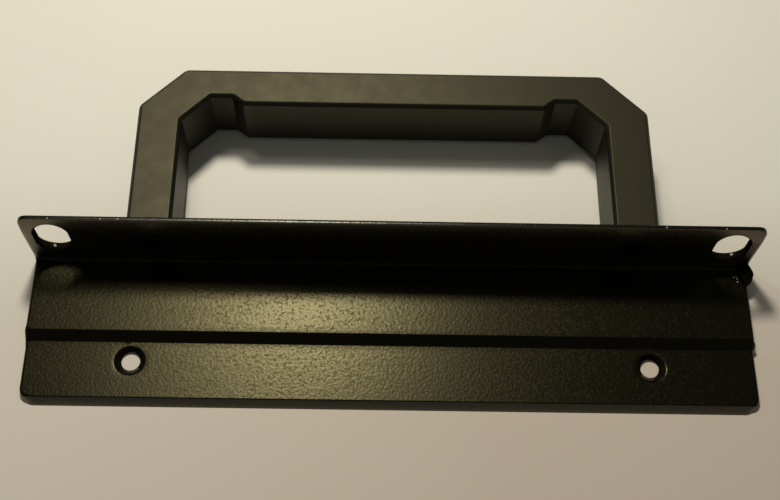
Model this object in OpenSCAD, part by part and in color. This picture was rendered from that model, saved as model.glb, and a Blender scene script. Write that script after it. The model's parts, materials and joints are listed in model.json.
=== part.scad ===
// Rack mount ear with a grab handle, for one side of a three-unit 19-inch chassis.
//
// X runs along the ear, Y goes from the chassis towards the handle, Z is up off the side flange.
// The origin is midway between the two chassis screw holes, on the face that meets the chassis.
// The sheet is folded once into an L. Its side flange steps down to the strip that is screwed to
// the chassis, and its rack flange carries the rack slots and the handle.

/* [Folded sheet] */
// Length of the ear along the rack, a little less than three rack units of 44.45
ear_len = 131; // [86:0.05:176]
// Sheet thickness
sheet_t = 1.5; // [1.2:0.1:1.8]
// Inside radius of the fold
fold_r = 0.6; // [0.4:0.1:1.5]
// Height of the rack flange from the underside of the fold to its top edge
rack_flange_h = 15.9; // [15.9:0.1:20]
// Width of the side flange from the outside of the rack flange to its front edge
side_flange_w = 28.7; // [27:0.1:36]
// Corner radius at the two ends of the rack flange
rack_corner_r = 1.9; // [0.5:0.1:2.5]
// Corner radius at the two ends of the side flange
side_corner_r = 2.1; // [0.5:0.1:4]

/* [Step in the side flange] */
// How far the screwed strip lies below the rest of the side flange
step_drop = 1.5; // [0.8:0.1:2]
// Horizontal run of the sloped part of the step
step_run = 1.65; // [1.2:0.05:2.5]
// Distance from the inside of the rack flange to the top of the step
step_from_rack = 14.0; // [11:0.1:14.5]
// Radius of the rounded upper side of the front edge
front_edge_r = 1.1; // [0.3:0.1:1.1]

/* [Rack slots] */
// Distance from the middle of a slot to the nearer end of the ear; it sets the pitch of 120.65
slot_to_end = 5.175; // [5.025:0.025:6.5]
// Width of a slot along the ear
slot_w = 5.9; // [4.5:0.1:6.4]
// Length of a slot across the flange, end to end
slot_len = 8.8; // [7:0.1:9.4]
// Distance from the middle of a slot to the top edge of the rack flange
slot_to_edge = 6.15; // [5.6:0.05:6.8]

/* [Chassis screw holes] */
// Distance from a hole to the nearer end of the ear
hole_to_end = 19.05; // [8:0.05:24]
// Diameter of a hole
hole_d = 3.2; // [2.6:0.1:3.6]
// Diameter of the countersink at the surface
countersink_d = 5.4; // [4.6:0.1:5.8]
// Distance from the holes to the front edge
hole_to_edge = 8.2; // [5.5:0.1:8.6]

/* [Handle] */
// Distance from the handle to either end of the ear
handle_to_end = 18.8; // [12:0.1:22]
// How far the handle stands out from the rack flange
handle_reach = 31.8; // [26:0.1:45]
// Thickness of the handle, measured up the rack flange
handle_h = 12.4; // [11:0.1:13]
// Height of the handle's underside above the underside of the fold
handle_lift = 2.15; // [1.7:0.05:2.5]
// Width of a leg
leg_w = 7.95; // [7:0.05:10]
// Depth of the bar at the two notches
bar_t = 6.0; // [5:0.1:8]
// Depth of the bar along the grip
grip_t = 7.6; // [6.5:0.1:10]
// Distance from a side of the handle to the end of the grip
grip_from_side = 19.0; // [17:0.1:22]
// Length of a ramp between notch and grip
ramp_len = 2.05; // [1:0.05:3]
// Size of the cut-off outer corners
outer_cut = 8.0; // [5:0.1:12]
// Size of the filled inner corners
inner_fill = 5.1; // [3:0.1:7]
// Radius where an outer corner meets leg or bar
corner_r = 1.8; // [0.8:0.1:4]
// Bevel along the long edges of the handle
handle_bevel = 0.6; // [0.3:0.05:0.8]

/* [Handle screws] */
// Thread diameter
screw_d = 4.0; // [3:0.1:4.5]
// Head diameter
screw_head_d = 7.4; // [6.5:0.1:7.8]
// Overall length, head included
screw_len = 10; // [7:0.5:14]
// Width of the cross recess in the head
recess_w = 0.9; // [0.6:0.05:1.1]
// Span of the cross recess in the head
recess_span = 4.0; // [2.5:0.1:4.6]
// Depth of the cross recess in the head
recess_depth = 1.4; // [0.8:0.1:1.6]
// Gap between a screw and what it sits in
screw_gap = 0.03; // [0.02:0.01:0.06]

/* [Lump] */
// Radius of the lump that stands on one end of the fold
lump_r = 1.45; // [1:0.05:1.6]
// How far the lump stands proud of the end
lump_proud = 1.0; // [0.3:0.1:1.2]
// Length of the lump from the inside of the rack flange, away from the rack
lump_front = 2.85; // [2:0.05:3.5]
// How far the lump runs into the thickness of the rack flange
lump_back = 0.7; // [0.3:0.1:1.2]

/* [Hidden] */
$fn = 64;

through = 1;                             // how far a cutter runs past the faces that it cuts
sliver = 0.01;                           // thinnest slice in a hull
hull_fn = 32;

slot_spacing = ear_len - 2 * slot_to_end;
hole_spacing = ear_len - 2 * hole_to_end;

front_y = -hole_to_edge;
rack_out_y = front_y + side_flange_w;    // outside of the rack flange, where the handle sits
rack_in_y = rack_out_y - sheet_t;        // inside of the rack flange, which meets the rack
step_top_y = rack_in_y - step_from_rack;
step_foot_y = step_top_y - step_run;
fold_y = rack_in_y - fold_r;             // the fold's centre line
side_z = step_drop;                      // underside of the raised part of the side flange
side_top_z = side_z + sheet_t;
fold_z = side_top_z + fold_r;
rack_top_z = side_z + rack_flange_h;
// the underside of the slope lies this far behind its top, so that the sheet keeps its thickness
step_shift = sheet_t * tan(atan2(step_drop, step_run) / 2);

slot_r = slot_w / 2;
slot_z = rack_top_z - slot_to_edge;
slot_straight = slot_len - slot_w;
countersink_h = (countersink_d - hole_d) / 2;

handle_z = side_z + handle_lift;
handle_mid_z = handle_z + handle_h / 2;
handle_w = ear_len - 2 * handle_to_end;
handle_half = handle_w / 2;
window_half = handle_half - leg_w;
notch_y = handle_reach - bar_t;
grip_y = handle_reach - grip_t;
grip_half = handle_half - grip_from_side;
// from the corner of a 135 degree bend to the centre of its round, along either side
round_shift = corner_r * (sqrt(2) - 1);

screw_x = handle_half - leg_w / 2;
screw_head_h = (screw_head_d - screw_d) / 2;
screw_bore_depth = screw_len - sheet_t + 1.5;

// Lays a drawing made in (Y, Z) along X
module along_x(len) {
  rotate([90, 0, 90]) linear_extrude(len, center = true) children();
}

// Lays a drawing made in (X, Z) along Y, from y to y + len
module along_y(y, len) {
  translate([0, y + len, 0]) rotate([90, 0, 0]) linear_extrude(len) children();
}

// What a square corner loses when it is rounded, with the corner at the origin
module corner_waste(r) {
  difference() {
    translate([-through, -through]) square(r + through);
    translate([r, r]) circle(r);
  }
}

// The sheet's section, in (Y, Z)
module side_section() {
  difference() {
    polygon([
      [front_y, 0],
      [step_foot_y + step_shift, 0],
      [step_top_y + step_shift, side_z],
      [fold_y, side_z],
      [fold_y, side_top_z],
      [step_top_y, side_top_z],
      [step_foot_y, sheet_t],
      [front_y, sheet_t]
    ]);
    translate([front_y, sheet_t]) rotate(-90) corner_waste(front_edge_r);
  }
}

module fold_section() {
  intersection() {
    difference() {
      translate([fold_y, fold_z]) circle(fold_r + sheet_t);
      translate([fold_y, fold_z]) circle(fold_r);
    }
    translate([fold_y, side_z]) square(fold_r + sheet_t);
  }
}

module rack_section() {
  translate([rack_in_y, fold_z]) square([sheet_t, rack_top_z - fold_z]);
}

module rack_slot() {
  for (end = [-1, 1])
    translate([0, end * slot_straight / 2]) circle(slot_r);
  square([slot_w, slot_straight], center = true);
}

// Screw hole in the strip, countersunk from above
module chassis_hole() {
  translate([0, 0, -through]) cylinder(d = hole_d, h = sheet_t + 2 * through);
  translate([0, 0, sheet_t - countersink_h])
    cylinder(d1 = hole_d, d2 = countersink_d, h = countersink_h);
  translate([0, 0, sheet_t]) cylinder(d = countersink_d, h = through);
}

// Outline of a flat-head screw along +Y with its head flush at y = 0, grown by gap
module screw_outline(gap, len) {
  rotate([-90, 0, 0]) rotate_extrude()
    polygon([
      [0, 0],
      [screw_head_d / 2 + gap, 0],
      [screw_d / 2 + gap, screw_head_h],
      [screw_d / 2 + gap, len],
      [0, len]
    ]);
}

// Cuts everything in front of the screw's head and the screw's own place
module screw_seat(len) {
  screw_outline(screw_gap, len);
  translate([0, sliver, 0]) rotate([90, 0, 0])
    cylinder(d = screw_head_d + 2 * screw_gap, h = through);
}

module ear_bracket() {
  color("#26251f") difference() {
    union() {
      along_x(ear_len) side_section();
      along_x(ear_len) fold_section();
      along_x(ear_len) rack_section();
      end_lump();
    }
    // rounded corners of the two flanges
    for (side = [-1, 1]) {
      along_y(rack_in_y - through, sheet_t + 2 * through)
        translate([side * ear_len / 2, rack_top_z])
          rotate(side > 0 ? 180 : -90) corner_waste(rack_corner_r);
      translate([side * ear_len / 2, front_y, -through])
        rotate(side > 0 ? 90 : 0)
          linear_extrude(sheet_t + 2 * through) corner_waste(side_corner_r);
      along_y(rack_in_y - through, sheet_t + 2 * through)
        translate([side * slot_spacing / 2, slot_z]) rack_slot();
      translate([side * hole_spacing / 2, 0, 0]) chassis_hole();
      translate([side * screw_x, rack_in_y, handle_mid_z]) screw_seat(screw_len);
    }
  }
}

// The lump left on one end of the fold when the sheet was bent, round in front and blunt behind
module end_lump() {
  translate([ear_len / 2 + lump_proud - lump_r, rack_in_y, side_z + lump_r + 0.1])
    rotate([90, 0, 0]) rotate_extrude() {
      intersection() {
        translate([0, lump_front - lump_r]) circle(lump_r);
        translate([0, lump_front - lump_r]) square(lump_r);
      }
      square([lump_r, lump_front - lump_r]);
      translate([0, -lump_back]) difference() {
        square([lump_r, lump_back]);
        translate([lump_r, 0]) rotate(90) corner_waste(lump_back);
      }
    }
}

// A disc with bevelled rims, the corner of the handle's outer form
module bevelled_disc(r) {
  cylinder(r1 = r - handle_bevel, r2 = r, h = handle_bevel, $fn = hull_fn);
  translate([0, 0, handle_h - handle_bevel])
    cylinder(r1 = r, r2 = r - handle_bevel, h = handle_bevel, $fn = hull_fn);
}

// The handle's outer form without its window: legs run on past the rack flange and are cut there
module handle_block() {
  hull() for (side = [-1, 1]) {
    translate([side * (handle_half - corner_r), -corner_r, 0])
      bevelled_disc(corner_r);
    translate([side * (handle_half - corner_r), handle_reach - outer_cut - round_shift, 0])
      bevelled_disc(corner_r);
    translate([side * (handle_half - outer_cut - round_shift), handle_reach - corner_r, 0])
      bevelled_disc(corner_r);
  }
}

// The window is three convex areas that overlap: the middle in front of the grip ...
module window_middle() {
  translate([-grip_half, -2 * corner_r]) square([2 * grip_half, grip_y + 2 * corner_r]);
}

// ... and an end with a notch, a filled corner and a leg, on either side of it
module window_end(side) {
  polygon([
    [side * grip_half, -2 * corner_r],
    [side * window_half, -2 * corner_r],
    [side * window_half, notch_y - inner_fill],
    [side * (window_half - inner_fill), notch_y],
    [side * (grip_half + ramp_len), notch_y],
    [side * grip_half, grip_y]
  ]);
}

// Cuts one convex area right through, flared at both faces so that the edge comes out bevelled
module bevelled_cut() {
  translate([0, 0, -through]) linear_extrude(handle_h + 2 * through) children();
  hull() {
    translate([0, 0, handle_bevel]) linear_extrude(sliver) children();
    translate([0, 0, -sliver]) linear_extrude(sliver) offset(delta = handle_bevel) children();
  }
  hull() {
    translate([0, 0, handle_h - handle_bevel]) linear_extrude(sliver) children();
    translate([0, 0, handle_h]) linear_extrude(sliver) offset(delta = handle_bevel) children();
  }
}

module handle_window() {
  bevelled_cut() window_middle();
  bevelled_cut() window_end(-1);
  bevelled_cut() window_end(1);
}

module grab_handle() {
  color("#4d4a39") translate([0, rack_out_y, handle_z]) difference() {
    handle_block();
    handle_window();
    // feet, cut flat where they stand on the rack flange
    translate([-handle_w, -handle_reach, -through])
      cube([2 * handle_w, handle_reach, handle_h + 2 * through]);
    for (side = [-1, 1])
      translate([side * screw_x, -sheet_t, handle_h / 2])
        screw_outline(screw_gap, sheet_t + screw_bore_depth);
  }
}

module handle_screw(side) {
  color("#1b1b1a") translate([side * screw_x, rack_in_y, handle_mid_z]) difference() {
    screw_outline(0, screw_len);
    for (turn = [45, 135])
      rotate([0, turn, 0])
        cube([recess_span, 2 * recess_depth, recess_w], center = true);
  }
}

module handle_screw_left() handle_screw(-1);
module handle_screw_right() handle_screw(1);

ear_bracket();
grab_handle();
handle_screw_left();
handle_screw_right();
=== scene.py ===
"""Looks of a rack mount ear with a grab handle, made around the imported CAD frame.

Lengths are in millimetres, and to_metres() turns points into Blender's metres. The sheet is drawn
in its flat pattern, as (flat, x): flat is the way from the front edge over the step and round the
fold to the top edge. sheet_point() folds it.
"""

import json
import math

import bmesh
import bpy
import numpy as np
from mathutils import Matrix, Vector, noise
from mathutils.geometry import delaunay_2d_cdt


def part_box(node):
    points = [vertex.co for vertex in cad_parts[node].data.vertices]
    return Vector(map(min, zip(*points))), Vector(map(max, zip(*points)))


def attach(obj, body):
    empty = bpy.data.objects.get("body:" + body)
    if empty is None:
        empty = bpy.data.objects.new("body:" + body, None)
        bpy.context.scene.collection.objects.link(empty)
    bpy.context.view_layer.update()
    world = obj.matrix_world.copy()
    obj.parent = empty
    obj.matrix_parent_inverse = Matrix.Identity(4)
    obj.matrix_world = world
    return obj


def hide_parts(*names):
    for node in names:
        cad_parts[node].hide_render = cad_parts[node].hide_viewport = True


MM = 0.001

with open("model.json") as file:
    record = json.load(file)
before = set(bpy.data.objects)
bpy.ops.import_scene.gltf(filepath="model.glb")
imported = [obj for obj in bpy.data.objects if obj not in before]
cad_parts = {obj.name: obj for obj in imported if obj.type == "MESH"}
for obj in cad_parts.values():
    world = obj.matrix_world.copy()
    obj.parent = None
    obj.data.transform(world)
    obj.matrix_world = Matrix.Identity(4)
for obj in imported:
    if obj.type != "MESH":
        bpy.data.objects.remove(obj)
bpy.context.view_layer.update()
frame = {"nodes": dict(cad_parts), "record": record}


def mount(name):
    """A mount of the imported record: its place in mm and its sizes."""
    found = [m for m in frame["record"]["mounts"] if m["name"] == name][0]
    return [v / MM for v in found["pos_m"]], found["dims"]


def node_box(name):
    """The lowest and the highest corner of a CAD node, in mm."""
    low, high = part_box(name)
    return [v / MM for v in low], [v / MM for v in high]


# ---- sizes taken from the frame ----
EAR_LOW, EAR_HIGH = node_box("ear_bracket")
HANDLE_LOW, HANDLE_HIGH = node_box("grab_handle")
SCREW_LOW, SCREW_HIGH = node_box("handle_screw_right")
SLOT_PLACE, SLOT_SIZES = mount("rack_slot_right")
HOLE_SIZES = mount("chassis_screws")[1]

HALF_LEN = -EAR_LOW[0]
LUMP_TIP = EAR_HIGH[0]
FRONT_Y = EAR_LOW[1]
RACK_OUT_Y = EAR_HIGH[1]
RACK_IN_Y = SLOT_PLACE[1]
RACK_TOP_Z = EAR_HIGH[2]
SHEET_T = RACK_OUT_Y - RACK_IN_Y
SLOT_X = SLOT_PLACE[0]
SLOT_Z = SLOT_PLACE[2]
SLOT_R = SLOT_SIZES["hole_r_mm"]
SLOT_STRAIGHT = SLOT_SIZES["slot_length_mm"] - 2 * SLOT_R
HOLE_X = HOLE_SIZES["spacing_x_mm"] / 2
HOLE_R = HOLE_SIZES["hole_r_mm"]
HANDLE_HALF = HANDLE_HIGH[0]
HANDLE_REACH = HANDLE_HIGH[1] - RACK_OUT_Y
SCREW_X = (SCREW_LOW[0] + SCREW_HIGH[0]) / 2
SCREW_Z = (SCREW_LOW[2] + SCREW_HIGH[2]) / 2
SCREW_HEAD_R = (SCREW_HIGH[0] - SCREW_LOW[0]) / 2

# ---- sizes of the folded sheet that the frame doesn't list ----
STEP_DROP = 1.5
STEP_TOP_Y = 5.0
STEP_FOOT_Y = 3.35
STEP_SHIFT = SHEET_T * math.tan(math.atan2(STEP_DROP, STEP_TOP_Y - STEP_FOOT_Y) / 2)
STEP_ROUND = 0.3
SIDE_TOP_Z = STEP_DROP + SHEET_T
FOLD_R = 0.6
SIDE_CORNER_R = 2.8
RACK_CORNER_R = 1.9
COUNTERSINK_R = 2.7
SEAT_GAP = 0.03

# roundings of the sheet's cut edges, upper side first
END_ROUNDS = (0.6, 0.3)
TOP_ROUNDS = (0.12, 0.55)
SLOT_ROUNDS = (0.4, 0.55)
# an end's rim turns into the front edge's or the top edge's over this length
RIM_BLEND = 1.5
HOLE_WEAR = 0.13
SINK_ROUND = 0.7
SINK_FOOT_ROUND = 0.1
# the rack flange gets thinner towards its top edge, on the inside
TAPER = 0.65
TAPER_LEN = 5.0
# the front edge is ground off on its upper side, this far in and down, and a little convex
FRONT_BEVEL = (1.20, 1.40)
FRONT_BELLY = 0.04
# the small round below it: how far it reaches on both faces, and how far in its middle lies
FRONT_FOOT = 0.08
FRONT_FOOT_MID = 0.025
# the side flange's ends lie a little behind the rack flange's, and what moves an end reaches so far in
END_INSET = 0.2
END_ZONE = 3.0
# at the step the left end bulges a little, and the right end has a lip with a sharp front side
BULGE = 0.2
BULGE_Y = 4.1
BULGE_LEN = 1.5
LIP = 0.42
LIP_FRONT_Y = 3.6
LIP_TOP_Y = 4.4
LIP_BACK_Y = 4.7
# the fold's right end is squeezed out beside the lump
SQUEEZE = 0.9
SQUEEZE_LEN = 2.0

# ---- how finely the meshes are made ----
ARC_STEP = math.radians(9)
EDGE_GAP = 0.5
GRID_GAP = 1.2
EDGE_CLEAR = 0.35 * GRID_GAP
STEP_PIECES = 4
FOLD_PIECES = 10
RIM_MARGIN = 0.1

# ---- sizes of the handle that the frame doesn't list ----
LEG_W = 7.95
BAR_T = 6.0
GRIP_T = 7.6
GRIP_HALF = 27.7
RAMP_LEN = 2.05
OUTER_CUT = 8.0
INNER_FILL = 5.1
CORNER_R = 1.8
INNER_R = 0.5
HANDLE_BEVEL = 0.6
HANDLE_SOFT = 0.04

# ---- the lump at the right end of the fold ----
LUMP_SIZE = (1.35, 2.5, 1.9)
LUMP_Y = 17.7
LUMP_Z = 3.5
# 1 would make an octahedron and 2 an ellipsoid
LUMP_POWER = 1.35
LUMP_DENT = 0.04
LUMP_DENTS_AT = Vector((3.1, 0.4, 5.2))

# ---- the set ----
FLOOR_HALF = 900
FLOOR_BEND = 4
LAMPS_AIM = (0, 15, 0)
CAMERA_AT = (-4.22, -74.70, 201.45)
# in degrees about X, Y and Z
CAMERA_TURN = (25.899, -0.979, 0.510)
CAMERA_LENS = 55.07
CAMERA_SHIFT = 0.0094


def to_metres(points):
    return [tuple(float(c) * MM for c in p) for p in points]


def clamp(share):
    return min(1, max(0, share))


def add_object(name, data):
    made = bpy.data.objects.new(name, data)
    bpy.context.scene.collection.objects.link(made)
    return made


# ---------------------------------------------------------------- plane outlines

def corner_arc(before, corner, after, radius, pieces=None):
    """The arc that rounds a corner between two other points, in steps of 9 degrees if not told."""
    here = Vector(corner)
    way_in = (Vector(before) - here).normalized()
    way_out = (Vector(after) - here).normalized()
    angle = way_in.angle(way_out)
    back = radius / math.tan(angle / 2)
    centre = here + (way_in + way_out).normalized() * (radius / math.sin(angle / 2))
    start = here + way_in * back - centre
    turn = math.pi - angle
    pieces = pieces or max(2, math.ceil(turn / ARC_STEP))
    if start.cross(here + way_out * back - centre) < 0:
        turn = -turn
    return [tuple(centre + Matrix.Rotation(turn * k / pieces, 2) @ start) for k in range(pieces + 1)]


def rounded(corners, radii):
    """A closed outline with each corner replaced by an arc of its radius."""
    outline = []
    for i, (corner, radius) in enumerate(zip(corners, radii)):
        after = corners[(i + 1) % len(corners)]
        outline += corner_arc(corners[i - 1], corner, after, radius) if radius else [corner]
    return outline


def soft_corner(line, index, radius, pieces):
    """Replaces one corner of an open line by an arc."""
    arc = corner_arc(line[index - 1], line[index], line[index + 1], radius, pieces)
    return line[:index] + arc + line[index + 1:]


def spaced(outline, gap, closed=True):
    """The outline with points added, so that none are further apart than gap."""
    result = []
    count = len(outline)
    for i in range(count if closed else count - 1):
        a = Vector(outline[i])
        b = Vector(outline[(i + 1) % count])
        parts = max(1, math.ceil((b - a).length / gap))
        result += [tuple(a.lerp(b, k / parts)) for k in range(parts)]
    if not closed:
        result.append(tuple(outline[-1]))
    return result


def circle(centre, radius, count=48):
    turns = [2 * math.pi * k / count for k in range(count)]
    return [(centre[0] + radius * math.cos(t), centre[1] + radius * math.sin(t)) for t in turns]


def slot_outline(centre, radius, straight, count=48):
    """A closed slot that is long in its first coordinate."""
    outline = []
    for k in range(count):
        turn = 2 * math.pi * (k + 0.5) / count
        side = 1 if math.cos(turn) > 0 else -1
        outline.append((centre[0] + side * straight / 2 + radius * math.cos(turn),
                        centre[1] + radius * math.sin(turn)))
    return spaced(outline, EDGE_GAP)


def left_normals(outline):
    """Unit vectors to the left of a closed outline, mitred at its points."""
    points = np.array(outline)
    ahead = np.roll(points, -1, 0) - points
    ahead /= np.linalg.norm(ahead, axis=1)[:, None]
    behind = np.roll(ahead, 1, 0)
    normal = np.stack([-(ahead + behind)[:, 1], (ahead + behind)[:, 0]], 1)
    normal /= np.linalg.norm(normal, axis=1)[:, None]
    mitre = (normal * np.stack([-ahead[:, 1], ahead[:, 0]], 1)).sum(1)
    return normal / mitre[:, None]


def inside(outline, points):
    """Whether each point lies inside a closed outline."""
    x, y = points[:, 0], points[:, 1]
    result = np.zeros(len(points), bool)
    for (ax, ay), (bx, by) in zip(outline, outline[1:] + outline[:1]):
        if ay == by:
            continue
        crosses = (ay > y) != (by > y)
        result ^= crosses & (x < (bx - ax) * (y - ay) / (by - ay) + ax)
    return result


def quarter_round(radius, steps=4):
    """(inset, depth below the face) along a rounded edge, from the face to the side."""
    turns = [math.pi / 2 * k / steps for k in range(steps + 1)]
    return [(radius * (1 - math.sin(t)), radius * (1 - math.cos(t))) for t in turns]


def soft_bevel(inset, depth, soft=0.08, margin=0.12):
    """(inset, depth) along a bevel with softened borders, between two flat margins."""
    along = Vector((-inset, depth)).normalized() * soft
    return [
        (inset + soft + margin, 0),
        (inset + soft, 0),
        (inset + along.x, along.y),
        (-along.x, depth - along.y),
        (0, depth + soft),
        (0, depth + soft + margin),
    ]


# ---------------------------------------------------------------- the folded sheet

# the fold's centre line, and where the fold, the rack flange and the top edge lie in the flat pattern
FOLD_Y = RACK_IN_Y - FOLD_R
FOLD_Z = SIDE_TOP_Z + FOLD_R
FOLD_RUN = math.pi / 2 * (FOLD_R + SHEET_T / 2)
RACK_START = FOLD_Y + FOLD_RUN
FLAT_END = RACK_START + RACK_TOP_Z - FOLD_Z
SQUEEZE_AT = FOLD_Y + 0.2


def fold_arc(radius):
    turns = [math.pi / 2 * k / FOLD_PIECES for k in range(FOLD_PIECES + 1)]
    return [(FOLD_Y + radius * math.sin(t), FOLD_Z - radius * math.cos(t)) for t in turns]


def face_line(foot, top, base, fold_radius):
    """One face of the sheet's section in (Y, Z), with the step's two bends rounded."""
    line = [(FRONT_Y, base), (foot, base), (top, base + STEP_DROP), (FOLD_Y, base + STEP_DROP)]
    line = soft_corner(line, 2, STEP_ROUND, STEP_PIECES)
    line = soft_corner(line, 1, STEP_ROUND, STEP_PIECES)
    return line[:-1] + fold_arc(fold_radius) + [(FOLD_Y + fold_radius, RACK_TOP_Z)]


UPPER = face_line(STEP_FOOT_Y, STEP_TOP_Y, SHEET_T, FOLD_R)
LOWER = face_line(STEP_FOOT_Y + STEP_SHIFT, STEP_TOP_Y + STEP_SHIFT, 0, FOLD_R + SHEET_T)


def flat_stations():
    """Where each point of a face line lies in the flat pattern, from the front edge to the top."""
    middle = [(a[0] + b[0]) / 2 for a, b in zip(UPPER, LOWER)]
    flat = middle[:2 * (STEP_PIECES + 1) + 1]
    flat += [FOLD_Y + FOLD_RUN * k / FOLD_PIECES for k in range(FOLD_PIECES + 1)]
    flat.append(FLAT_END)
    return np.array(flat)


STATIONS = flat_stations()


def sheet_point(flat, x, height):
    """Folds a point of the flat pattern: height runs from 0 on the lower face to 1 on the upper."""
    up = [np.interp(flat, STATIONS, [p[i] for p in UPPER]) for i in (0, 1)]
    low = [np.interp(flat, STATIONS, [p[i] for p in LOWER]) for i in (0, 1)]
    up[0] += TAPER * max(0, (flat - FLAT_END + TAPER_LEN) / TAPER_LEN) ** 2
    y = low[0] + (up[0] - low[0]) * height
    z = low[1] + (up[1] - low[1]) * height
    # 1 at the end itself, and 1 on the side flange down to 0 on the rack flange
    near_end = clamp((abs(x) - HALF_LEN + END_ZONE) / END_ZONE) ** 2
    on_side = clamp((RACK_START - flat) / FOLD_RUN)
    if x < 0:
        out = BULGE * math.exp(-((y - BULGE_Y) / BULGE_LEN) ** 4)
    else:
        out = end_lip(y) + SQUEEZE * math.exp(-((flat - SQUEEZE_AT) / SQUEEZE_LEN) ** 2)
    return (x + math.copysign(near_end, x) * (out - END_INSET * on_side), y, z)


def end_lip(y):
    """How far the lip stands out of the right end at the step."""
    if y < LIP_FRONT_Y:
        return 0
    return LIP * clamp((LIP_BACK_Y - y) / (LIP_BACK_Y - LIP_TOP_Y))


def sheet_outline():
    """The flat pattern's edge, counter-clockwise in (flat, x)."""
    corners = [(FRONT_Y, -HALF_LEN), (FLAT_END, -HALF_LEN), (FLAT_END, HALF_LEN), (FRONT_Y, HALF_LEN)]
    radii = [SIDE_CORNER_R, RACK_CORNER_R, RACK_CORNER_R, SIDE_CORNER_R]
    return spaced(rounded(corners, radii), EDGE_GAP)


def rim_profile(upper, lower):
    """(inset, height) along an edge from the upper face to the lower, height from 1 to 0."""
    down = [(d, 1 - h / SHEET_T) for d, h in quarter_round(upper, 5)]
    back = [(d, h / SHEET_T) for d, h in quarter_round(lower, 3)]
    return [(upper + RIM_MARGIN, 1)] + down + back[::-1] + [(lower + RIM_MARGIN, 0)]


def front_profile():
    """(inset, height) along the front edge: a bevel above and a small round below."""
    bevel = soft_bevel(*FRONT_BEVEL)
    top, foot = Vector(bevel[2]), Vector(bevel[3])
    belly = -Vector(FRONT_BEVEL[::-1]).normalized() * FRONT_BELLY
    slope = [tuple(top.lerp(foot, t) + belly * 4 * t * (1 - t)) for t in np.linspace(0, 1, 6)]
    under = [(0, SHEET_T - FRONT_FOOT), (FRONT_FOOT_MID, SHEET_T - FRONT_FOOT_MID)]
    under += [(FRONT_FOOT, SHEET_T), (FRONT_FOOT + RIM_MARGIN, SHEET_T)]
    return [(d, 1 - h / SHEET_T) for d, h in bevel[:2] + slope + under]


def edge_profiles(outline):
    """The profile at each point of the flat pattern's edge."""
    ends = rim_profile(*END_ROUNDS)
    profiles = []
    for flat, x in outline:
        # how far the point is round the corner, from an end towards the front or the top
        share = clamp((HALF_LEN - abs(x)) / RIM_BLEND)
        target = front_profile() if flat < STEP_FOOT_Y else rim_profile(*TOP_ROUNDS)
        profiles.append([tuple(Vector(e).lerp(Vector(t), share)) for e, t in zip(ends, target)])
    return profiles


def sink_profile(upper_r, lower_r):
    """(radius, height) down a countersunk hole whose upper rim is rounded."""
    line = [(upper_r + 1, 0), (upper_r, 0), (lower_r, upper_r - lower_r), (lower_r, SHEET_T)]
    line = soft_corner(line, 2, SINK_FOOT_ROUND, 2)
    line = soft_corner(line, 1, SINK_ROUND, 6)
    return [(r, 1 - h / SHEET_T) for r, h in line[1:]]


class Loop:
    """One edge of the flat pattern: rings of flat points and heights, upper face first."""

    def __init__(self, rings):
        self.rings = rings

    @property
    def upper(self):
        return [(a, b) for a, b, _ in self.rings[0]]

    @property
    def lower(self):
        return [(a, b) for a, b, _ in self.rings[-1]]


def rim_loop(outline, profiles):
    """Rings along an outline whose material lies on its left."""
    normals = left_normals(outline)
    rings = []
    for k in range(len(profiles[0])):
        ring = []
        for (a, b), normal, profile in zip(outline, normals, profiles):
            inset, height = profile[k]
            ring.append((a + normal[0] * inset, b + normal[1] * inset, height))
        rings.append(ring)
    return Loop(rings)


def round_loop(centre, profile):
    """Rings of a round hole, clockwise so that the material is on the left."""
    return Loop([[(a, b, height) for a, b in circle(centre, radius)[::-1]] for radius, height in profile])


def sheet_loops():
    """The flat pattern's edge, then the slots, the chassis holes and the screws' seats."""
    outline = sheet_outline()
    loops = [rim_loop(outline, edge_profiles(outline))]
    for side in (-1, 1):
        flat = RACK_START + SLOT_Z - FOLD_Z
        slot = slot_outline((flat, side * SLOT_X), SLOT_R, SLOT_STRAIGHT)[::-1]
        loops.append(rim_loop(slot, [rim_profile(*SLOT_ROUNDS)] * len(slot)))
        loops.append(round_loop((0, side * HOLE_X), sink_profile(COUNTERSINK_R, HOLE_R + HOLE_WEAR)))
        flat = RACK_START + SCREW_Z - FOLD_Z
        wide = SCREW_HEAD_R + SEAT_GAP
        seat = [(wide, 1), (wide - SHEET_T, 0)]
        loops.append(round_loop((flat, side * SCREW_X), seat))
    return loops


def grid_points(loops):
    """Points inside the flat pattern, on its stations and clear of its edges."""
    rows = spaced([(s, 0) for s in STATIONS], GRID_GAP, closed=False)
    columns = np.arange(-HALF_LEN + GRID_GAP, HALF_LEN, GRID_GAP)
    points = np.array([(a, x) for a, _ in rows for x in columns])
    for number, loop in enumerate(loops):
        for edge in (loop.upper, loop.lower):
            # the first loop is the outer edge, and the others are holes
            keep = ~inside(edge, points) if number else inside(edge, points)
            line = np.array(edge)
            clear = np.array([np.hypot(*(line - p).T).min() for p in points]) > EDGE_CLEAR
            points = points[keep & clear]
    return points


def face_triangles(edges, points):
    """Delaunay triangles between the edge loops through the points; the first loop is the outer one."""
    verts = []
    lines = []
    for edge in edges:
        first = len(verts)
        verts += edge
        lines += [(first + i, first + (i + 1) % len(edge)) for i in range(len(edge))]
    verts += [tuple(p) for p in points]
    made = delaunay_2d_cdt([Vector(v) for v in verts], lines, [], 0, 1e-7)
    flat = np.array([tuple(v) for v in made[0]])
    faces = [f for f in made[2] if len(f) == 3]
    middles = np.array([flat[f].mean(0) for f in faces])
    keep = inside(edges[0], middles)
    for edge in edges[1:]:
        keep &= ~inside(edge, middles)
    return flat, [f for f, k in zip(faces, keep) if k]


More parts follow.
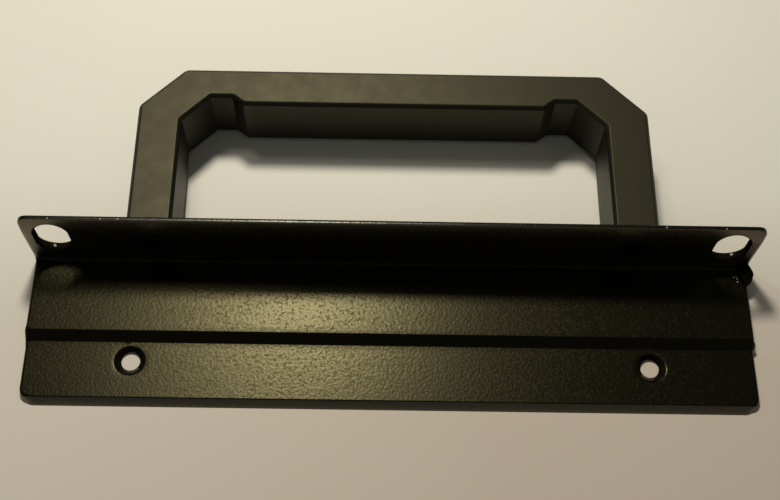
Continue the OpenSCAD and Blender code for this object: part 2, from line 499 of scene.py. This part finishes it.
def mesh_object(name, verts, faces):
    """A mesh object from points in metres, with its doubles merged and its normals outwards."""
    mesh = bpy.data.meshes.new(name)
    mesh.from_pydata(verts, [], faces)
    work = bmesh.new()
    work.from_mesh(mesh)
    bmesh.ops.remove_doubles(work, verts=work.verts, dist=1e-7)
    bmesh.ops.recalc_face_normals(work, faces=work.faces)
    work.to_mesh(mesh)
    work.free()
    mesh.shade_smooth()
    mesh.set_sharp_from_angle(angle=math.radians(35))
    return add_object(name, mesh)


def folded_sheet():
    """The ear: both faces between the loops, and the walls that join them along the loops."""
    loops = sheet_loops()
    points = grid_points(loops)
    verts = []
    faces = []
    for height in (1, 0):
        edges = [loop.upper if height else loop.lower for loop in loops]
        flat, triangles = face_triangles(edges, points)
        first = len(verts)
        verts += [sheet_point(a, x, height) for a, x in flat]
        order = 1 if height else -1
        faces += [tuple(first + i for i in t[::order]) for t in triangles]
    for loop in loops:
        first = len(verts)
        count = len(loop.rings[0])
        for ring in loop.rings:
            verts += [sheet_point(a, x, height) for a, x, height in ring]
        for k in range(len(loop.rings) - 1):
            for i in range(count):
                a = first + k * count + i
                b = first + k * count + (i + 1) % count
                faces.append((a, a + count, b + count, b))
    return mesh_object("folded_sheet", to_metres(verts), faces)


COMMON, GLOSSY, MATT, RUBBED, PAINTED_SHEEN = range(5)


def coat_of(place, normal):
    """Which coat a face of the ear has, from its middle in mm and its normal."""
    x, y, z = place
    beside_slot = abs(abs(x) - SLOT_X) < SLOT_R + SLOT_ROUNDS[0]
    level_with_slot = abs(z - SLOT_Z) < SLOT_R + SLOT_STRAIGHT / 2 + SLOT_ROUNDS[0]
    in_slot = y > RACK_IN_Y - 0.1 and beside_slot and level_with_slot
    by_hole = math.hypot(abs(x) - HOLE_X, y) < COUNTERSINK_R + 0.2
    if by_hole and abs(normal.z) < 0.75:
        return MATT
    if y < FRONT_Y + FRONT_BEVEL[0] and abs(normal.z) < 0.9:
        return GLOSSY
    if in_slot and abs(normal.y) < 0.95:
        return MATT
    if z > FOLD_Z and normal.y < -0.6:
        return GLOSSY
    # the lip beside the step gets a painted light-brown sheen
    if x > HALF_LEN - END_INSET and LIP_FRONT_Y - 0.3 < y < LIP_BACK_Y:
        return PAINTED_SHEEN
    if z > RACK_TOP_Z - 0.4 and normal.z > 0.5:
        return RUBBED
    return COMMON


# ---------------------------------------------------------------- the lump on the fold

def fold_lump():
    """The lump at the right end of the fold: a blob with blunt ridges, dented by noise."""
    work = bmesh.new()
    bmesh.ops.create_icosphere(work, subdivisions=5, radius=1)
    centre = Vector((LUMP_TIP - LUMP_SIZE[0], LUMP_Y, LUMP_Z))
    for vert in work.verts:
        way = vert.co.copy()
        dent = max(-1, min(1, 1.6 * noise.noise(way * 1.7 + LUMP_DENTS_AT)))
        size = 1 - LUMP_DENT * (1 - dent)
        size /= sum(abs(c) ** LUMP_POWER for c in way) ** (1 / LUMP_POWER)
        vert.co = (centre + way * Vector(LUMP_SIZE) * size) * MM
    mesh = bpy.data.meshes.new("fold_lump")
    work.to_mesh(mesh)
    work.free()
    mesh.shade_smooth()
    return add_object("fold_lump", mesh)


# ---------------------------------------------------------------- the handle

def mirrored(corners):
    return [((-x, y), radius) for (x, y), radius in corners[::-1]]


def handle_outline():
    """The handle's U in (X, Y), counter-clockwise, with its feet on the rack flange."""
    notch = HANDLE_REACH - BAR_T
    grip = HANDLE_REACH - GRIP_T
    window = HANDLE_HALF - LEG_W
    outer = [
        ((HANDLE_HALF, 0), 0),
        ((HANDLE_HALF, HANDLE_REACH - OUTER_CUT), CORNER_R),
        ((HANDLE_HALF - OUTER_CUT, HANDLE_REACH), CORNER_R),
    ]
    inner = [
        ((GRIP_HALF, grip), INNER_R),
        ((GRIP_HALF + RAMP_LEN, notch), INNER_R),
        ((window - INNER_FILL, notch), INNER_R),
        ((window, notch - INNER_FILL), INNER_R),
        ((window, 0), 0),
    ]
    whole = outer + mirrored(outer) + mirrored(inner) + inner
    corners = [(x, y + RACK_OUT_Y) for (x, y), _ in whole]
    return spaced(rounded(corners, [radius for _, radius in whole]), 2.0)


def foot_way(x):
    """Which way a bevel insets a point of a foot: its two corners move along X, the rest stays."""
    outer = abs(abs(x) - HANDLE_HALF) < 1e-6
    inner = abs(abs(x) - HANDLE_HALF + LEG_W) < 1e-6
    return math.copysign(1, x) * (inner - outer)


def grab_handle():
    """The handle: its outline carried through the bevels from the top face to the lower one."""
    outline = handle_outline()
    normals = left_normals(outline)
    on_foot = [abs(y - RACK_OUT_Y) < 1e-6 for _, y in outline]
    low, high = HANDLE_LOW[2], HANDLE_HIGH[2]
    bevel = soft_bevel(HANDLE_BEVEL, HANDLE_BEVEL, HANDLE_SOFT)
    profile = [(d, high - h) for d, h in bevel]
    profile += [(d, low + h) for d, h in bevel[::-1]]
    verts = []
    for inset, z in profile:
        for (x, y), normal, foot in zip(outline, normals, on_foot):
            way = (foot_way(x), 0) if foot else normal
            verts.append((x + way[0] * inset, y + way[1] * inset, z))
    count = len(outline)
    faces = [tuple(range(count)), tuple(range(len(verts) - 1, len(verts) - 1 - count, -1))]
    for k in range(len(profile) - 1):
        for i in range(count):
            a = k * count + i
            b = k * count + (i + 1) % count
            faces.append((a, a + count, b + count, b))
    return mesh_object("handle_body", to_metres(verts), faces)


# ---------------------------------------------------------------- materials

class Nodes:
    """A short way to build a material's node tree."""

    def __init__(self, name):
        self.material = bpy.data.materials.new(name)
        self.material.use_nodes = True
        self.tree = self.material.node_tree
        self.shader = self.tree.nodes["Principled BSDF"]

    def add(self, kind, **values):
        node = self.tree.nodes.new(kind)
        for key, value in values.items():
            if hasattr(node, key):
                setattr(node, key, value)
            else:
                self.put(node, key, value)
        return node

    def put(self, node, key, value):
        """Links or sets a node's input, which is given by its name or number."""
        if isinstance(value, bpy.types.NodeSocket):
            self.tree.links.new(value, node.inputs[key])
        else:
            node.inputs[key].default_value = value

    def noise(self, scale, detail=2.0, roughness=0.5):
        return self.add("ShaderNodeTexNoise", Vector=self.where(), Scale=scale,
                        Detail=detail, Roughness=roughness).outputs["Fac"]

    def where(self):
        """The object's own coordinates, in metres."""
        known = self.tree.nodes.get("where")
        return (known or self.add("ShaderNodeTexCoord", name="where")).outputs["Object"]

    def places(self, *axes):
        node = self.add("ShaderNodeSeparateXYZ", Vector=self.where())
        return [node.outputs[axis] for axis in axes]

    def math(self, operation, a, b):
        node = self.add("ShaderNodeMath", operation=operation)
        self.put(node, 0, a)
        self.put(node, 1, b)
        return node.outputs["Value"]

    def spots(self, places, radius):
        """1 within about a radius of any of the places in mm, with ragged borders and drawn out in Z."""
        squash = Vector((1, 1, 0.2))
        rag = self.add("ShaderNodeTexNoise", Vector=self.where(), Scale=2500, Detail=2)
        # the noise averages 0.5, so it moves each point by about 0.6 of a radius along each axis
        moved = self.add("ShaderNodeVectorMath", operation="MULTIPLY_ADD")
        self.put(moved, 0, rag.outputs["Color"])
        self.put(moved, 1, [1.2 * radius * MM] * 3)
        self.put(moved, 2, self.where())
        flat = self.add("ShaderNodeVectorMath", operation="MULTIPLY")
        self.put(flat, 0, moved.outputs["Vector"])
        self.put(flat, 1, squash)
        total = 0
        for place in places:
            far = self.add("ShaderNodeVectorMath", operation="DISTANCE")
            self.put(far, 0, flat.outputs["Vector"])
            self.put(far, 1, (Vector(place) + Vector([0.6 * radius] * 3)) * squash * MM)
            one = self.remap(far.outputs["Value"], radius * MM, 0.7 * radius * MM, 0, 1)
            total = self.math("MAXIMUM", one, total)
        return total

    def remap(self, value, low, high, to_low, to_high):
        node = self.add("ShaderNodeMapRange", Value=value)
        for key, number in (("From Min", low), ("From Max", high), ("To Min", to_low), ("To Max", to_high)):
            node.inputs[key].default_value = number
        return node.outputs["Result"]

    def mix(self, share, a, b):
        node = self.add("ShaderNodeMix", data_type="RGBA")
        self.put(node, "Factor", share)
        self.put(node, 6, a)
        self.put(node, 7, b)
        return node.outputs[2]


# spots where the coat is chipped to the bare metal on the top edge, and painted glints in the slots and by
# the lump: light grey colour that stands in for glints there
CHIPS_AND_GLINTS = [
    (-59.95, RACK_OUT_Y - 0.7, RACK_TOP_Z),
    (-50.8, RACK_OUT_Y - 0.7, RACK_TOP_Z),
    (-47.8, RACK_OUT_Y - 0.6, RACK_TOP_Z),
    (47.5, RACK_OUT_Y - 0.6, RACK_TOP_Z),
    (58.0, RACK_OUT_Y - 0.7, RACK_TOP_Z),
    (-60.95, RACK_IN_Y + 0.75, SLOT_Z - SLOT_R - SLOT_STRAIGHT / 2),
    (61.65, RACK_IN_Y + 0.9, SLOT_Z - SLOT_R - SLOT_STRAIGHT / 2),
    (62.9, 17.2, SIDE_TOP_Z),
    (63.4, 17.3, SIDE_TOP_Z),
    (63.55, 16.9, SIDE_TOP_Z),
    (63.5, 16.3, SIDE_TOP_Z),
]
# small dull marks on the side flange
MARKS = [
    (-58.4, 9.8, SIDE_TOP_Z),
    (-58.0, 9.8, SIDE_TOP_Z),
    (-57.6, 9.9, SIDE_TOP_Z),
]
BARE_METAL_AND_GLINT = (0.3, 0.3, 0.27, 1)
PEEL_DEPTH = 0.06
GRAIN_DEPTH = 0.03


def powder_coat(name, level, tint, peel_strength, gloss, lean=0.0, ior=1.5):
    """Black powder coat with the fine dimples of orange peel, chipped in a few spots, and with a few
    painted glints.

    gloss is its least and its greatest roughness. lean tips the shading of its level faces towards
    the handle by that slope.
    """
    n = Nodes(name)
    coat = n.mix(n.noise(120, 3), (0.0010, 0.0010, 0.0006, 1), (0.0018, 0.0017, 0.0011, 1))
    # light grey spots: chips on the top edge, and painted glints by the lump
    n.put(n.shader, "Base Color", n.mix(n.spots(CHIPS_AND_GLINTS, 0.15), coat, BARE_METAL_AND_GLINT))
    dull = n.math("MULTIPLY", n.spots(MARKS, 0.25), 0.3)
    n.put(n.shader, "Roughness", n.math("ADD", dull, n.remap(n.noise(2200, 1.5), 0.52, 0.68, *gloss)))
    n.shader.inputs["Specular IOR Level"].default_value = level
    n.shader.inputs["Specular Tint"].default_value = tint
    n.shader.inputs["IOR"].default_value = ior
    slope = n.math("MULTIPLY", n.places("Y")[0], -lean / (PEEL_DEPTH * MM * peel_strength))
    peel = n.math("ADD", n.noise(1900, 1.5, 0.55), slope)
    bump = n.add("ShaderNodeBump", Height=peel, Strength=peel_strength, Distance=PEEL_DEPTH * MM)
    n.put(n.shader, "Normal", bump.outputs["Normal"])
    return n.material


def painted_lip_sheen():
    """The lip beside the step, painted light brown: a painted sheen that stands for the light it catches,
    not a colour of its own.
    """
    n = Nodes("painted_lip_sheen")
    n.put(n.shader, "Base Color", n.mix(n.noise(1500, 2), (0.12, 0.08, 0.04, 1), (0.22, 0.15, 0.08, 1)))
    n.put(n.shader, "Roughness", n.remap(n.noise(1500, 2), 0.3, 0.7, 0.45, 0.6))
    return n.material


def satin_black():
    """The handle's smooth satin black, with faint clouds and a fine grain."""
    n = Nodes("satin_black")
    base = n.mix(n.noise(90, 3), (0.0025, 0.0023, 0.0018, 1), (0.0035, 0.0032, 0.0025, 1))
    n.put(n.shader, "Base Color", base)
    n.put(n.shader, "Roughness", n.remap(n.noise(400, 2), 0.3, 0.7, 0.46, 0.51))
    n.shader.inputs["Specular IOR Level"].default_value = 0.54
    n.shader.inputs["Specular Tint"].default_value = (0.6, 0.53, 0.31, 1)
    bump = n.add("ShaderNodeBump", Height=n.noise(3500, 2), Strength=0.15, Distance=GRAIN_DEPTH * MM)
    n.put(n.shader, "Normal", bump.outputs["Normal"])
    return n.material


def black_steel():
    """The blackened screws."""
    n = Nodes("black_steel")
    base = n.mix(n.noise(600, 2), (0.0015, 0.0015, 0.0015, 1), (0.003, 0.003, 0.0028, 1))
    n.put(n.shader, "Base Color", base)
    n.put(n.shader, "Roughness", n.remap(n.noise(1500, 2), 0.3, 0.7, 0.5, 0.6))
    n.shader.inputs["Specular IOR Level"].default_value = 0.1
    return n.material


def dull_black():
    """The thin, matt coat in the slots, on the countersinks and on the lump, with painted glints: light
    grey spots in the slots and on the lump that stand in for glints.
    """
    n = Nodes("dull_black")
    coat = n.mix(n.noise(900, 2), (0.003, 0.0025, 0.0013, 1), (0.011, 0.009, 0.005, 1))
    # painted glints: light grey spots on the slots' lower rims and on the lump
    n.put(n.shader, "Base Color", n.mix(n.spots(CHIPS_AND_GLINTS, 0.3), coat, BARE_METAL_AND_GLINT))
    n.put(n.shader, "Roughness", n.remap(n.noise(1500, 2), 0.3, 0.7, 0.55, 0.7))
    n.shader.inputs["Specular IOR Level"].default_value = 0.0
    return n.material


def table_top():
    """The pale floor, with painted shade that darkens its colour towards the front and the right."""
    n = Nodes("table_top")
    pale = n.mix(n.noise(14, 3), (0.72, 0.68, 0.575, 1), (0.75, 0.71, 0.605, 1))
    x, y = n.places("X", "Y")
    # painted shade: the floor's colour darkens towards the front and the right
    nearer = n.remap(y, 36 * MM, 2 * MM, 0, 1)
    righter = n.remap(x, -80 * MM, 20 * MM, 0.20, 0.40)
    share = n.math("MULTIPLY", nearer, righter)
    n.put(n.shader, "Base Color", n.mix(share, pale, (0.22, 0.07, 0.0, 1)))
    n.shader.inputs["Roughness"].default_value = 0.8
    return n.material


# ---------------------------------------------------------------- the set

def bent_floor(material):
    """A floor that is level under the strip and rises to the handle's far lower edge."""
    bend_y = STEP_FOOT_Y + STEP_SHIFT
    rise_y = bend_y + FLOOR_BEND / 2
    slope = HANDLE_LOW[2] / (HANDLE_HIGH[1] - HANDLE_BEVEL - rise_y)
    line = [(-FLOOR_HALF, 0)]
    for run in np.linspace(0, FLOOR_BEND, 9):
        line.append((bend_y + run, slope * run ** 2 / (2 * FLOOR_BEND)))
    line.append((FLOOR_HALF, slope * (FLOOR_HALF - rise_y)))
    verts = [(x, y, z) for y, z in line for x in (-FLOOR_HALF, FLOOR_HALF)]
    faces = [(2 * k, 2 * k + 1, 2 * k + 3, 2 * k + 2) for k in range(len(line) - 1)]
    mesh = bpy.data.meshes.new("floor")
    mesh.from_pydata(to_metres(verts), [], faces)
    mesh.shade_smooth()
    mesh.materials.append(material)
    made = add_object("floor", mesh)


def round_lamp(name, place, size, watts, color):
    """A round lamp that looks at the part from its place."""
    light = bpy.data.lights.new(name, "AREA")
    light.shape = "DISK"
    light.size = size * MM
    light.energy = watts
    light.color = color
    made = add_object(name, light)
    made.location = Vector(place) * MM
    away = Vector(place) - Vector(LAMPS_AIM)
    made.rotation_euler = away.to_track_quat("Z", "Y").to_euler()


def world_light(strength, color):
    """The same dim light from all around."""
    world = bpy.data.worlds.new("room")
    bpy.context.scene.world = world
    world.use_nodes = True
    back = world.node_tree.nodes["Background"]
    back.inputs["Color"].default_value = color
    back.inputs["Strength"].default_value = strength


def photo_camera():
    """The camera, at the reference picture's angle."""
    data = bpy.data.cameras.new("camera")
    data.lens = CAMERA_LENS
    data.sensor_width = 36
    data.shift_x = CAMERA_SHIFT
    made = add_object("camera", data)
    made.location = [v * MM for v in CAMERA_AT]
    made.rotation_euler = [math.radians(v) for v in CAMERA_TURN]
    bpy.context.scene.camera = made


photo_camera()
world_light(0.135, color=(0.95, 1.0, 0.96, 1))
round_lamp("desk_lamp", (-34, 168, 290), size=46, watts=0.83, color=(1.0, 0.97, 0.88))
round_lamp("room_lamp", (-80, 131, 290), size=45, watts=0.10, color=(1.0, 0.97, 0.90))

# the lean puts the desk lamp's glare on the middle of the side flange
common_coat = powder_coat("powder_coat", level=0.74, tint=(0.23, 0.2, 0.095, 1), peel_strength=0.4,
                          gloss=(0.28, 0.40), lean=0.046)
glossy_coat = powder_coat("edge_coat", level=1.0, tint=(1.0, 0.9, 0.66, 1), peel_strength=0.03,
                          gloss=(0.26, 0.29), ior=1.65)
rubbed_coat = powder_coat("rubbed_coat", level=0.9, tint=(0.25, 0.24, 0.19, 1), peel_strength=0.4,
                          gloss=(0.25, 0.33))
satin = satin_black()
sheet = folded_sheet()
matt_coat = dull_black()
# in the order of the coats' numbers
for material in (common_coat, glossy_coat, matt_coat, rubbed_coat, painted_lip_sheen()):
    sheet.data.materials.append(material)
for face in sheet.data.polygons:
    face.material_index = coat_of(face.center / MM, face.normal)
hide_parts("ear_bracket")
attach(sheet, "root")

lump = fold_lump()
lump.data.materials.append(matt_coat)
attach(lump, "root")

handle = grab_handle()
handle.data.materials.append(satin)
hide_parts("grab_handle")
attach(handle, "root")

steel = black_steel()
for name in ("handle_screw_left", "handle_screw_right"):
    screw = frame["nodes"][name]
    screw.data.materials.clear()
    screw.data.materials.append(steel)

bent_floor(table_top())

bpy.context.scene.view_settings.view_transform = "Standard"
